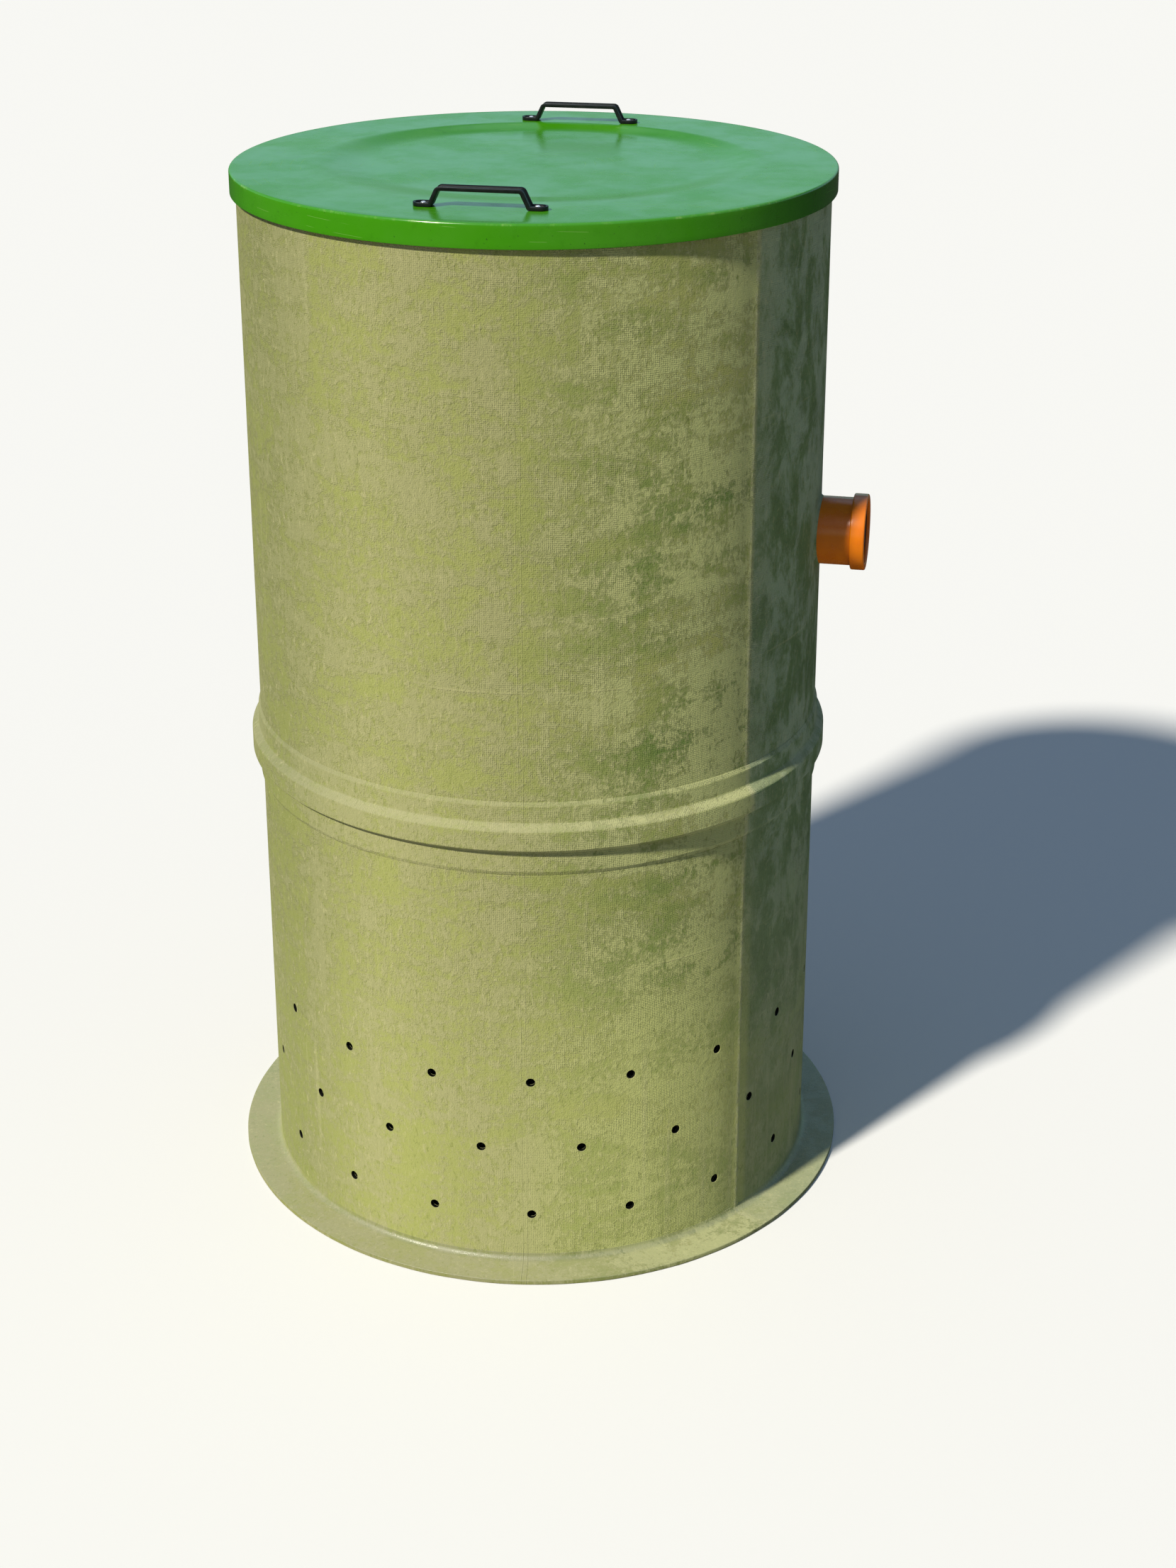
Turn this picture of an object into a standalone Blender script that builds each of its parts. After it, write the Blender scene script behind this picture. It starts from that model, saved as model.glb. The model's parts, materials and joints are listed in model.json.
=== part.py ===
# Soakaway well: a glass-fibre barrel with seep holes, a stiffening rib, a base flange,
# a lift-off lid with two handles and a 110 mm pipe socket.
# Metres, +Z up. Origin on the barrel's axis at the underside of the base flange, +X along the inlet.
import bpy
import bmesh
from math import cos, sin, pi, radians
from mathutils import Matrix, Vector

# Fits
SEAT_GAP = 0.0003            # between pieces that touch
LID_CLEARANCE = 0.005        # between the lid's skirt and the barrel

# Barrel
BARREL_RADIUS = 0.500
BARREL_WALL = 0.008
BARREL_SEGMENTS = 8
FACETS_PER_SEGMENT = 9
SEAM_HEIGHT = 0.8225         # where the lower and the upper course meet, under the rib

# Base flange and the laminated fillet that joins it to the barrel
FLANGE_WIDTH = 0.065         # beyond the barrel
FLANGE_THICKNESS = 0.008
FOOT_FILLET = 0.012

# Seep holes, in staggered rows
HOLE_RADIUS = 0.008
HOLES_PER_ROW = 18
HOLE_ROWS = 3
FIRST_ROW_HEIGHT = 0.100
ROW_PITCH = 0.1315
HOLE_SIDES = 12

# Stiffening rib: a hump laminated over the seam in a wider overlay band.
# Its foot and crest lie above and below the band's middle.
RIB_BAND_HALF = 0.0655
RIB_BAND_THICKNESS = 0.0035
RIB_BAND_TAPER = 0.006
RIB_HEIGHT = 0.016
RIB_FOOT_ABOVE = 0.0317
RIB_CREST_ABOVE = 0.0165
RIB_CREST_BELOW = 0.0175
RIB_FOOT_BELOW = 0.0255

# Lid
LID_TOP = 1.840              # upper face of the rim
LID_SKIRT_DEPTH = 0.040
LID_SKIRT_THICKNESS = 0.005
LID_PANEL_THICKNESS = 0.006
LID_EDGE_RADIUS = 0.004
DISH_INSET = 0.128           # from the lid's edge to the slope round its sunken centre
DISH_SLOPE = 0.078           # run of that slope
DISH_DEPTH = 0.012
DISH_BIAS = 0.7              # under 1 the slope is steeper near its outer edge

# Handles: a strap of channel section, with a rim that runs round both feet
HANDLE_INSET = 0.113         # from the lid's edge to a handle's middle
HANDLE_LENGTH = 0.213
HANDLE_WIDTH = 0.025
HANDLE_HEIGHT = 0.032
HANDLE_THICKNESS = 0.0065
HANDLE_BAR_LENGTH = 0.132    # between the bar's bends, on the strap's middle line
HANDLE_LEG_LEAN = 0.012      # how far a leg leans out on its way down
HANDLE_BEND_RADIUS = 0.006
HANDLE_FOOT_BEND_RADIUS = 0.0015
HANDLE_RIM = 0.0035
HANDLE_CHANNEL_DEPTH = 0.0030
SCREW_SPACING = 0.180
SCREW_HOLE_RADIUS = 0.0026

# Inlet: a sleeve for a 110 mm drain pipe, with a bead that holds the seal
INLET_HEIGHT = 1.220
INLET_BORE_RADIUS = 0.0554
INLET_WALL = 0.0036
INLET_REACH = 0.082          # from the barrel's side to the mouth
INLET_INSIDE = 0.030         # how far the sleeve reaches inside the wall
BEAD_RADIUS = 0.066
BEAD_LENGTH = 0.025
BEAD_EDGE_RADIUS = 0.004
GROOVE_RADIUS = 0.0620
GROOVE_LENGTH = 0.014
SEAL_LIP_RADIUS = 0.0543
COLLAR_REACH = 0.014         # how far the laminated collar spreads over the wall
COLLAR_HEIGHT = 0.010
COLLAR_BED = 0.002           # how far the collar's blank runs on before it is cut to the barrel
INLET_FACETS = 40

# Edges
SMALL_CHAMFER = 0.001
FEATHER_EDGE = 0.0006        # the thinnest that a laminate is feathered to

SEGMENT_ANGLE = 360.0 / BARREL_SEGMENTS
FACET_ANGLE = SEGMENT_ANGLE / FACETS_PER_SEGMENT
FULL_FACETS = BARREL_SEGMENTS * FACETS_PER_SEGMENT
BARREL_INNER = BARREL_RADIUS - BARREL_WALL
BARREL_TOP = LID_TOP - LID_PANEL_THICKNESS - SEAT_GAP
CLAD_RADIUS = BARREL_RADIUS + SEAT_GAP
FLANGE_RADIUS = BARREL_RADIUS + FLANGE_WIDTH
LID_RADIUS = BARREL_RADIUS + LID_CLEARANCE + LID_SKIRT_THICKNESS
DISH_RADIUS = LID_RADIUS - DISH_INSET
HANDLE_OFFSET = LID_RADIUS - HANDLE_INSET
INLET_RADIUS = INLET_BORE_RADIUS + INLET_WALL
INLET_MOUTH = BARREL_RADIUS + INLET_REACH


def clear_objects():
    for old in list(bpy.data.objects):
        bpy.data.objects.remove(old, do_unlink=True)


def surface(name, colour, roughness, metallic=0.0):
    # colour is given as it looks, 0 to 255
    material = bpy.data.materials.new(name)
    material.use_nodes = True
    shader = material.node_tree.nodes["Principled BSDF"]
    linear = [(channel / 255.0) ** 2.2 for channel in colour]
    shader.inputs["Base Color"].default_value = (*linear, 1.0)
    shader.inputs["Roughness"].default_value = roughness
    shader.inputs["Metallic"].default_value = metallic
    return material


def add_object(name, mesh_data, material, smooth_angle=30.0):
    bmesh.ops.recalc_face_normals(mesh_data, faces=mesh_data.faces)
    mesh = bpy.data.meshes.new(name)
    mesh_data.to_mesh(mesh)
    mesh_data.free()
    mesh.shade_smooth()
    mesh.set_sharp_from_angle(angle=radians(smooth_angle))
    thing = bpy.data.objects.new(name, mesh)
    bpy.context.scene.collection.objects.link(thing)
    if material:
        mesh.materials.append(material)
    return thing


def as_cutter(thing):
    thing.hide_render = True
    thing.display_type = "WIRE"
    return thing


def boolean(thing, other, operation="DIFFERENCE"):
    modifier = thing.modifiers.new(other.name, "BOOLEAN")
    modifier.operation = operation
    modifier.solver = "EXACT"
    modifier.object = other
    return modifier


def ring_points(profile, angle):
    # profile is (radius, height) pairs, turned to an angle in degrees
    turn = radians(angle)
    return [(r * cos(turn), r * sin(turn), z) for r, z in profile]


def lathe(profile, angles, closed):
    # A solid of revolution about +Z. The profile is a closed outline in (radius, height).
    shape = bmesh.new()
    rings = [[shape.verts.new(p) for p in ring_points(profile, a)] for a in angles]
    pairs = list(zip(rings, rings[1:]))
    if closed:
        pairs.append((rings[-1], rings[0]))
    count = len(profile)
    for here, there in pairs:
        for i in range(count):
            j = (i + 1) % count
            if max(profile[i][0], profile[j][0]) > 0:
                shape.faces.new((here[i], here[j], there[j], there[i]))
    if not closed:
        shape.faces.new(rings[0])
        shape.faces.new(rings[-1])
    bmesh.ops.remove_doubles(shape, verts=shape.verts, dist=1e-6)
    return shape


def full_turn():
    return [SEGMENT_ANGLE / 2 + i * FACET_ANGLE for i in range(FULL_FACETS)]


def part_turn(index, outer_radius):
    # Segment 0 is centred on +X. Its ends keep half a seat gap to the next segment.
    trim = SEAT_GAP / 2 / outer_radius * 180 / pi
    start = (index - 0.5) * SEGMENT_ANGLE
    inner = [start + i * FACET_ANGLE for i in range(1, FACETS_PER_SEGMENT)]
    return [start + trim] + inner + [start + SEGMENT_ANGLE - trim]


def turned_ring(name, profile, material):
    return add_object(name, lathe(profile, full_turn(), True), material)


def turned_segment(name, index, profile, material):
    reach = max(r for r, z in profile)
    return add_object(name, lathe(profile, part_turn(index, reach), False), material)


def arc(centre, radius, start, end, steps):
    # Points on an arc in the profile's plane, angles in degrees
    points = []
    for i in range(steps + 1):
        turn = radians(start + (end - start) * i / steps)
        points.append((centre[0] + radius * cos(turn), centre[1] + radius * sin(turn)))
    return points


def cylinder_along(direction, centre, radius, length, sides):
    shape = bmesh.new()
    turn = Vector((0, 0, 1)).rotation_difference(direction).to_matrix().to_4x4()
    bmesh.ops.create_cone(shape, cap_ends=True, segments=sides, radius1=radius, radius2=radius,
                          depth=length, matrix=Matrix.Translation(centre) @ turn)
    return shape


def seep_hole_cutters():
    # Even rows start on +X, the row between them half a pitch further round.
    pitch = 360.0 / HOLES_PER_ROW
    shape = bmesh.new()
    for row in range(HOLE_ROWS):
        height = FIRST_ROW_HEIGHT + row * ROW_PITCH
        for i in range(HOLES_PER_ROW):
            turn = radians((i + 0.5 * (row % 2)) * pitch)
            outward = Vector((cos(turn), sin(turn), 0))
            centre = outward * (BARREL_RADIUS - BARREL_WALL / 2) + Vector((0, 0, height))
            one = cylinder_along(outward, centre, HOLE_RADIUS, BARREL_WALL * 4, HOLE_SIDES)
            copy = bpy.data.meshes.new("seep_hole")
            one.to_mesh(copy)
            one.free()
            shape.from_mesh(copy)
            bpy.data.meshes.remove(copy)
    return as_cutter(add_object("seep_hole_cutters", shape, None))


def make_barrel(material):
    lower = [(BARREL_INNER, 0), (BARREL_RADIUS, 0),
             (BARREL_RADIUS, SEAM_HEIGHT - SEAT_GAP / 2), (BARREL_INNER, SEAM_HEIGHT - SEAT_GAP / 2)]
    upper = [(BARREL_INNER, SEAM_HEIGHT + SEAT_GAP / 2), (BARREL_RADIUS, SEAM_HEIGHT + SEAT_GAP / 2),
             (BARREL_RADIUS, BARREL_TOP), (BARREL_INNER, BARREL_TOP)]
    holes = seep_hole_cutters()
    inlet_centre = Vector((BARREL_RADIUS, 0, INLET_HEIGHT))
    inlet_hole = as_cutter(add_object("inlet_hole_cutter", cylinder_along(
        Vector((1, 0, 0)), inlet_centre, INLET_RADIUS + SEAT_GAP, BARREL_WALL * 6, INLET_FACETS), None))
    for index in range(BARREL_SEGMENTS):
        wall = turned_segment(f"lower_wall_{index + 1}", index, lower, material)
        boolean(wall, holes)
        wall = turned_segment(f"upper_wall_{index + 1}", index, upper, material)
        if index == 0:
            boolean(wall, inlet_hole)


def rib_rise(offset):
    # Height of the rib over the barrel at a distance above its middle
    band_run = (RIB_BAND_HALF - abs(offset)) / RIB_BAND_TAPER
    band = RIB_BAND_THICKNESS * min(1.0, max(0.0, band_run))
    if offset > 0:
        share = (RIB_FOOT_ABOVE - offset) / (RIB_FOOT_ABOVE - RIB_CREST_ABOVE)
    else:
        share = (RIB_FOOT_BELOW + offset) / (RIB_FOOT_BELOW - RIB_CREST_BELOW)
    share = min(1.0, max(0.0, share))
    return band + (RIB_HEIGHT - RIB_BAND_THICKNESS) * (3 * share ** 2 - 2 * share ** 3)


def make_rib(material):
    # The hump turns down steeply on its lower side and slopes off on its upper one.
    below = [RIB_BAND_HALF, RIB_BAND_HALF - RIB_BAND_TAPER, RIB_FOOT_BELOW,
             (RIB_FOOT_BELOW + RIB_CREST_BELOW) / 2, RIB_CREST_BELOW]
    run = RIB_FOOT_ABOVE - RIB_CREST_ABOVE
    above = [RIB_CREST_ABOVE + run * share for share in (0, 0.3, 0.5, 0.7, 1)]
    above += [RIB_BAND_HALF - RIB_BAND_TAPER, RIB_BAND_HALF]
    offsets = [-z for z in below] + above
    outline = [(CLAD_RADIUS + max(FEATHER_EDGE, rib_rise(z)), SEAM_HEIGHT + z) for z in offsets]
    outline += [(CLAD_RADIUS, SEAM_HEIGHT + RIB_BAND_HALF), (CLAD_RADIUS, SEAM_HEIGHT - RIB_BAND_HALF)]
    for index in range(BARREL_SEGMENTS):
        turned_segment(f"rib_{index + 1}", index, outline, material)


def make_base(material):
    flange = [(CLAD_RADIUS, 0), (FLANGE_RADIUS, 0), (FLANGE_RADIUS, FLANGE_THICKNESS - SMALL_CHAMFER),
              (FLANGE_RADIUS - SMALL_CHAMFER, FLANGE_THICKNESS), (CLAD_RADIUS, FLANGE_THICKNESS)]
    for index in range(BARREL_SEGMENTS):
        turned_segment(f"base_flange_{index + 1}", index, flange, material)
    low = FLANGE_THICKNESS + SEAT_GAP
    hollow = arc((CLAD_RADIUS + FOOT_FILLET, low + FOOT_FILLET), FOOT_FILLET, 270, 180, 2)
    fillet = [(CLAD_RADIUS, low)] + [(r + FEATHER_EDGE, z + FEATHER_EDGE) for r, z in hollow]
    fillet.insert(1, (fillet[1][0], low))
    fillet.append((CLAD_RADIUS, fillet[-1][1]))
    turned_ring("foot_fillet", fillet, material)


def dish_drop(radius):
    # Depth of the lid's upper face under its rim, an S-shaped slope down to the sunken centre
    share = min(1.0, max(0.0, (DISH_RADIUS - radius) / DISH_SLOPE)) ** DISH_BIAS
    return DISH_DEPTH * (3 * share ** 2 - 2 * share ** 3)


def make_lid(material):
    shares = [1.0, 0.82, 0.64, 0.48, 0.34, 0.22, 0.11, 0.0]
    slope = [DISH_RADIUS - share * DISH_SLOPE for share in shares]
    top = [(0.0, LID_TOP - DISH_DEPTH)] + [(r, LID_TOP - dish_drop(r)) for r in slope]
    edge = arc((LID_RADIUS - LID_EDGE_RADIUS, LID_TOP - LID_EDGE_RADIUS), LID_EDGE_RADIUS, 90, 0, 4)
    under = [(LID_RADIUS, LID_TOP - LID_PANEL_THICKNESS)]
    under += [(r, z - LID_PANEL_THICKNESS) for r, z in top[::-2]]
    turned_ring("lid_panel", top + edge + under, material)

    skirt_top = LID_TOP - LID_PANEL_THICKNESS - SEAT_GAP
    skirt_foot = LID_TOP - LID_SKIRT_DEPTH
    inner = LID_RADIUS - LID_SKIRT_THICKNESS
    skirt = [(inner, skirt_top), (inner, skirt_foot), (LID_RADIUS - SMALL_CHAMFER, skirt_foot),
             (LID_RADIUS, skirt_foot + SMALL_CHAMFER), (LID_RADIUS, skirt_top)]
    turned_ring("lid_skirt", skirt, material)


def mitred(corners, distance):
    # The open polyline moved sideways to its left, its corners kept sharp
    count = len(corners)
    normals = []
    for a, b in zip(corners, corners[1:]):
        along = (b - a).normalized()
        normals.append(Vector((-along.y, along.x)))
    moved = [corners[0] + normals[0] * distance]
    for i in range(1, count - 1):
        middle = (normals[i - 1] + normals[i]).normalized()
        moved.append(corners[i] + middle * (distance / middle.dot(normals[i])))
    moved.append(corners[-1] + normals[-1] * distance)
    return moved


def rounded(corners, radii, steps):
    # Each inner corner of the polyline replaced by an arc of its radius
    path = [corners[0]]
    for before, corner, after, radius in zip(corners, corners[1:], corners[2:], radii):
        back = (before - corner).normalized()
        ahead = (after - corner).normalized()
        half = back.angle(ahead) / 2
        middle = corner + (back + ahead).normalized() * (radius / sin(half))
        start = corner + back * (radius / sin(half) * cos(half)) - middle
        end = corner + ahead * (radius / sin(half) * cos(half)) - middle
        sweep = start.angle_signed(end)
        path += [middle + Matrix.Rotation(-sweep * i / steps, 2) @ start for i in range(steps + 1)]
    path.append(corners[-1])
    return path


def strap_side(distance):
    # A side of the strap, at a distance over its middle line, from one foot over the bar to the other
    end = HANDLE_LENGTH / 2
    bar = HANDLE_BAR_LENGTH / 2
    foot = bar + HANDLE_LEG_LEAN
    low = HANDLE_THICKNESS / 2
    high = HANDLE_HEIGHT - HANDLE_THICKNESS / 2
    middle = [(-end, low), (-foot, low), (-bar, high), (bar, high), (foot, low), (end, low)]
    at_bar = HANDLE_BEND_RADIUS + distance
    at_foot = max(HANDLE_FOOT_BEND_RADIUS / 2, HANDLE_FOOT_BEND_RADIUS - distance)
    return rounded(mitred([Vector(p) for p in middle], distance), (at_foot, at_bar, at_bar, at_foot), 4)


def extruded(outline, width):
    # An outline in the XZ plane, extruded along Y about the middle
    shape = bmesh.new()
    sides = [[shape.verts.new((p[0], y, p[1])) for p in outline] for y in (-width / 2, width / 2)]
    count = len(outline)
    for i in range(count):
        j = (i + 1) % count
        shape.faces.new((sides[0][i], sides[0][j], sides[1][j], sides[1][i]))
    shape.faces.new(sides[0])
    shape.faces.new(sides[1])
    return shape


def round_ended(length, width, height):
    # An upright block with half-round ends, seen from above
    radius = width / 2
    reach = length / 2 - radius
    plan = arc((reach, 0), radius, -90, 90, 12) + arc((-reach, 0), radius, 90, 270, 12)
    shape = bmesh.new()
    levels = [[shape.verts.new((x, y, z)) for x, y in plan] for z in (-height, height)]
    count = len(plan)
    for i in range(count):
        j = (i + 1) % count
        shape.faces.new((levels[0][i], levels[0][j], levels[1][j], levels[1][i]))
    shape.faces.new(levels[0])
    shape.faces.new(levels[1])
    return shape


def strap(name, width, low, high, plan_length, plan_width, material=None):
    # A bent strap between two sides, its feet rounded in plan
    outline = strap_side(high) + list(reversed(strap_side(low)))
    body = add_object(name, extruded(outline, width), material)
    plan = add_object(name + "_plan", round_ended(plan_length, plan_width, HANDLE_HEIGHT * 2), None)
    boolean(body, as_cutter(plan), "INTERSECT")
    return body, plan


def make_handle(name, offset, material):
    place = Matrix.Translation((0, offset, LID_TOP + SEAT_GAP))
    half = HANDLE_THICKNESS / 2
    spare = HANDLE_RIM
    body, plan = strap(name, HANDLE_WIDTH + spare, -half, half, HANDLE_LENGTH, HANDLE_WIDTH, material)
    inside = HANDLE_WIDTH - 2 * HANDLE_RIM
    channel, channel_plan = strap(name + "_channel", inside + spare, half - HANDLE_CHANNEL_DEPTH,
                                  half + HANDLE_FOOT_BEND_RADIUS, HANDLE_LENGTH - 2 * HANDLE_RIM, inside)
    boolean(body, as_cutter(channel))
    pieces = [body, plan, channel, channel_plan]
    for side in (-1, 1):
        centre = Vector((side * SCREW_SPACING / 2, 0, half))
        hole = cylinder_along(Vector((0, 0, 1)), centre, SCREW_HOLE_RADIUS, HANDLE_THICKNESS * 3, 12)
        cutter = as_cutter(add_object(f"{name}_screw_hole_{side}", hole, None))
        boolean(body, cutter)
        pieces.append(cutter)
    for piece in pieces:
        piece.matrix_world = place


def turn_to_inlet(shape):
    # A shape turned about +Z, laid down so that +Z becomes +X, on the inlet's axis
    lay = Matrix.Rotation(pi / 2, 4, "Y")
    bmesh.ops.transform(shape, matrix=Matrix.Translation((0, 0, INLET_HEIGHT)) @ lay, verts=shape.verts)
    return shape


def inlet_turn():
    return [i * 360.0 / INLET_FACETS for i in range(INLET_FACETS)]


def make_inlet(sleeve_material, seal_material, collar_material):
    start = BARREL_INNER - INLET_INSIDE
    bead_start = INLET_MOUTH - BEAD_LENGTH
    groove_start = INLET_MOUTH - (BEAD_LENGTH + GROOVE_LENGTH) / 2
    groove_end = groove_start + GROOVE_LENGTH
    round_in = BEAD_EDGE_RADIUS
    back = arc((BEAD_RADIUS - round_in, bead_start + round_in), round_in, 270, 360, 3)
    front = arc((BEAD_RADIUS - round_in, INLET_MOUTH - round_in), round_in, 0, 90, 3)
    outline = [(INLET_BORE_RADIUS, start), (INLET_RADIUS, start), (INLET_RADIUS, bead_start)]
    outline += back + front
    outline += [(INLET_BORE_RADIUS + SMALL_CHAMFER, INLET_MOUTH),
                (INLET_BORE_RADIUS, INLET_MOUTH - SMALL_CHAMFER),
                (INLET_BORE_RADIUS, groove_end), (GROOVE_RADIUS, groove_end),
                (GROOVE_RADIUS, groove_start), (INLET_BORE_RADIUS, groove_start)]
    sleeve = turn_to_inlet(lathe(outline, inlet_turn(), True))
    add_object("inlet_sleeve", sleeve, sleeve_material)

    # The seal fills its groove, and its lip leans into the bore, away from the mouth.
    seat = GROOVE_RADIUS - SEAT_GAP
    low = groove_start + SEAT_GAP
    high = groove_end - SEAT_GAP
    root = INLET_BORE_RADIUS + SMALL_CHAMFER
    lip = (low + high) / 2
    seal = [(seat, low), (seat, high), (root, high), (SEAL_LIP_RADIUS, lip),
            (SEAL_LIP_RADIUS, lip - SMALL_CHAMFER), (root, low)]
    add_object("inlet_seal", turn_to_inlet(lathe(seal, inlet_turn(), True)), seal_material)
    make_collar(collar_material)


def make_collar(material):
    # A hollow fillet of laminate round the sleeve, cut to sit on the barrel
    bore = INLET_RADIUS + SEAT_GAP
    reach = bore + COLLAR_REACH
    bed = (BARREL_RADIUS ** 2 - reach ** 2) ** 0.5 - COLLAR_BED
    sweep = []
    for angle in (0, 25, 50, 75):
        turn = radians(angle)
        sweep.append((bore + COLLAR_REACH * (1 - sin(turn)), BARREL_RADIUS + COLLAR_HEIGHT * (1 - cos(turn))))
    tip = BARREL_RADIUS + COLLAR_HEIGHT
    outline = [(bore, bed), (reach, bed)] + sweep + [(bore + FEATHER_EDGE, tip), (bore, tip)]
    collar = add_object("inlet_collar", turn_to_inlet(lathe(outline, inlet_turn(), True)), material)
    low = INLET_HEIGHT - 2 * reach
    high = INLET_HEIGHT + 2 * reach
    core = bed - BARREL_WALL
    drum = [(core, low), (CLAD_RADIUS, low), (CLAD_RADIUS, high), (core, high)]
    boolean(collar, as_cutter(turned_ring("collar_cutter", drum, None)))


def build():
    clear_objects()
    laminate = surface("laminate", (150, 152, 88), 0.62)
    lid_gelcoat = surface("lid_gelcoat", (72, 150, 38), 0.38)
    black_plastic = surface("black_plastic", (22, 22, 24), 0.45)
    drain_plastic = surface("drain_plastic", (205, 92, 28), 0.32)
    seal_rubber = surface("seal_rubber", (28, 28, 30), 0.75)
    make_barrel(laminate)
    make_rib(laminate)
    make_base(laminate)
    make_lid(lid_gelcoat)
    make_handle("handle_front", -HANDLE_OFFSET, black_plastic)
    make_handle("handle_back", HANDLE_OFFSET, black_plastic)
    make_inlet(drain_plastic, seal_rubber, laminate)


build()
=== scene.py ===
import json
from math import cos, pi, radians, sin, sqrt, tan

import bmesh
import bpy
from mathutils import Matrix, Vector
from mathutils.noise import noise as perlin


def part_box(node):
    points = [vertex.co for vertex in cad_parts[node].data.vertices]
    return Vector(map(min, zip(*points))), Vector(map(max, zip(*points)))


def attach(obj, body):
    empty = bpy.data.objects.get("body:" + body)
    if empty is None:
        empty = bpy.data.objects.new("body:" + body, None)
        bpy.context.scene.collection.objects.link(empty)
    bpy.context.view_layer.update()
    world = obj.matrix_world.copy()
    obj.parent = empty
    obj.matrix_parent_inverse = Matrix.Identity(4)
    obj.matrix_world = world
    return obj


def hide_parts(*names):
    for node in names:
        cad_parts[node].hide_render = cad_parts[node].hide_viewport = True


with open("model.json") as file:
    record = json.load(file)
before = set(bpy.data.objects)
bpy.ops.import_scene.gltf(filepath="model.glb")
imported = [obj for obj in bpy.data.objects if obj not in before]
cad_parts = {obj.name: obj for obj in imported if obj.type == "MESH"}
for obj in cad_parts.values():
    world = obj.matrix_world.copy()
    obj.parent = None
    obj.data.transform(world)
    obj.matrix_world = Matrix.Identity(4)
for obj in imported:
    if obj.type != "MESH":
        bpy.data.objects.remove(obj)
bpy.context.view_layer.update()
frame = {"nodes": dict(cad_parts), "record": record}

scene = bpy.context.scene
print("frame loaded:", len(frame["nodes"]), "nodes")

# Sizes that the frame gives. Metres, +Z up, the barrel stands on the origin, the inlet points along +X.
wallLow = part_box("lower_wall_1")[0].z
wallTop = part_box("upper_wall_5")[1].z
barrelRadius = -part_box("upper_wall_5")[0].x
seamHeight = (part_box("rib_5")[0].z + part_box("rib_5")[1].z) / 2
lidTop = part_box("lid_panel")[1].z
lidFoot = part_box("lid_skirt")[0].z
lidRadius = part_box("lid_skirt")[1].y
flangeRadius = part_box("base_flange_3")[1].y
inletHeight = (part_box("inlet_sleeve")[0].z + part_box("inlet_sleeve")[1].z) / 2
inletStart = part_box("inlet_sleeve")[0].x
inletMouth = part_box("inlet_sleeve")[1].x


# Meshes

def addPiece(name, mesh, material, body, nodes=(), sharp=35):
    piece = bpy.data.objects.new(name, mesh)
    scene.collection.objects.link(piece)
    mesh.materials.append(material)
    mesh.shade_smooth()
    mesh.set_sharp_from_angle(angle=radians(sharp))
    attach(piece, body)
    if nodes:
        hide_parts(*nodes)
    return piece


def meshFrom(name, vertices, faces):
    mesh = bpy.data.meshes.new(name)
    mesh.from_pydata(vertices, [], faces)
    shape = bmesh.new()
    shape.from_mesh(mesh)
    bmesh.ops.remove_doubles(shape, verts=shape.verts, dist=1e-6)
    bmesh.ops.dissolve_degenerate(shape, edges=shape.edges, dist=1e-6)
    loose = [edge for edge in shape.edges if not edge.link_faces]
    bmesh.ops.delete(shape, geom=loose, context="EDGES")
    bmesh.ops.recalc_face_normals(shape, faces=shape.faces)
    shape.to_mesh(mesh)
    shape.free()
    return mesh


def stitch(rows, columns, closeRows=True):
    # Quads between the points of a grid that closes on itself across its columns
    faces = []
    for row in range(rows if closeRows else rows - 1):
        for column in range(columns):
            here = row * columns
            there = (row + 1) % rows * columns
            beside = (column + 1) % columns
            faces.append((here + column, there + column, there + beside, here + beside))
    return faces


def turned(name, profile, steps, lumps=None, extraTurns=()):
    # A closed profile of (radius, height), turned about +Z
    vertices = []
    turns = sorted([2 * pi * step / steps for step in range(steps)] + list(extraTurns))
    for turn in turns:
        for radius, height in profile:
            if lumps:
                radius += lumps(turn, radius, height)
            vertices.append((radius * cos(turn), radius * sin(turn), height))
    return meshFrom(name, vertices, stitch(len(turns), len(profile)))


def arc(centre, radius, start, end, steps):
    angles = [radians(start + (end - start) * step / steps) for step in range(steps + 1)]
    return [(centre[0] + radius * cos(a), centre[1] + radius * sin(a)) for a in angles]


def layToInlet(mesh):
    # From the +Z axis on to the inlet's axis
    mesh.transform(Matrix.Translation((0, 0, inletHeight)) @ Matrix.Rotation(pi / 2, 4, "Y"))
    return mesh


def roundLumps(amount, reach):
    # Slow unevenness of a hand-laid laminate, the same each run
    def lump(turn, radius, height):
        place = Vector((cos(turn) * barrelRadius, sin(turn) * barrelRadius, height)) / reach
        return amount * perlin(place)
    return lump


# Shader nodes

def addNode(tree, kind, inputs, **settings):
    made = tree.nodes.new("ShaderNode" + kind)
    for name, value in settings.items():
        setattr(made, name, value)
    for name, value in inputs.items():
        if isinstance(value, bpy.types.NodeSocket):
            tree.links.new(value, made.inputs[name])
        else:
            made.inputs[name].default_value = value
    return made


def calc(tree, operation, a, b=0.0, c=0.0):
    return addNode(tree, "Math", {0: a, 1: b, 2: c}, operation=operation).outputs[0]


def product(tree, first, *others):
    for other in others:
        first = calc(tree, "MULTIPLY", first, other)
    return first


def distance(tree, value, place):
    return calc(tree, "ABSOLUTE", calc(tree, "SUBTRACT", value, place))


def noiseOf(tree, vector, scale, detail=2.0, roughness=0.5, distortion=0.0):
    made = addNode(tree, "TexNoise", {"Vector": vector, "Scale": scale, "Detail": detail,
                                      "Roughness": roughness, "Distortion": distortion})
    return made.outputs["Fac"]


def fade(tree, value, low, high, toLow=0.0, toHigh=1.0):
    limits = {"Value": value, "From Min": low, "From Max": high, "To Min": toLow, "To Max": toHigh}
    return addNode(tree, "MapRange", limits, interpolation_type="SMOOTHSTEP").outputs["Result"]


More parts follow.
